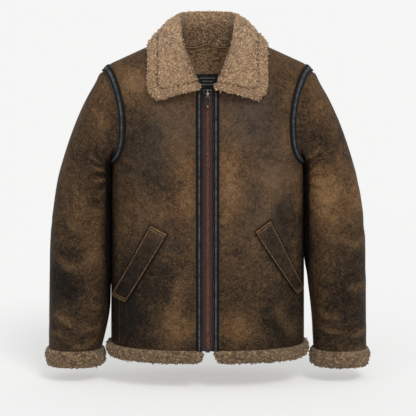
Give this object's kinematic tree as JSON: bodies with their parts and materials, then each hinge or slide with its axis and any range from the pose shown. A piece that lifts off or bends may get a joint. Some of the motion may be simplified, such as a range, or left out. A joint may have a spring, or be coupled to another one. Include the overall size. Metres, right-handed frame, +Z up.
{
  "type": "shearling coat",
  "caption": "Shearling coat, filled out and hollow, with a wide fur collar, a front zip with black bindings, slanted pocket welts, armhole strips and fur at hem and cuffs.",
  "frame": {"origin": "the middle of the neck opening, level with the neck ends of the shoulder seams", "axes": "+X to the viewer's right across the shoulders, the front faces -Y, +Z up"},
  "size_m": [0.7228, 0.2625, 0.7776],
  "materials": {
    "leather": "distressed brown, matt with worn patches",
    "fur": "curly brown sheepskin fur",
    "black_leather": "smooth black, soft gloss",
    "zip_tape": "woven burgundy tape",
    "zip_metal": "aged dark brass",
    "woven_label": "dark woven patch"
  },
  "bodies": {
    "coat": {"front_right": "leather", "front_left": "leather", "back": "leather", "sleeve_top_right": "leather", "sleeve_top_left": "leather", "sleeve_under_right": "leather", "sleeve_under_left": "leather", "collar": "fur", "collar_edge": "fur", "hem_fur_front_left": "fur", "hem_fur_front_right": "fur", "hem_fur_back": "fur", "cuff_fur_right": "fur", "cuff_fur_left": "fur", "armhole_strip_right": "black_leather", "armhole_strip_left": "black_leather", "pocket_welt_left": "leather", "pocket_welt_right": "leather", "zip_binding_right": "black_leather", "zip_binding_left": "black_leather", "zip_tape_right": "zip_tape", "zip_tape_left": "zip_tape", "zip_chain": "zip_metal", "zip_slider": "zip_metal", "zip_box": "zip_metal", "neck_label": "woven_label"},
    "pull": {"pull_tab": "zip_metal"}
  },
  "joints": [
    {"name": "pull_tab_hinge", "type": "hinge", "parent": "coat", "child": "pull", "pos_m": [0, -0.1288, -0.111], "axis": [-1, 0, 0], "range_deg": [0, 150]}
  ]
}
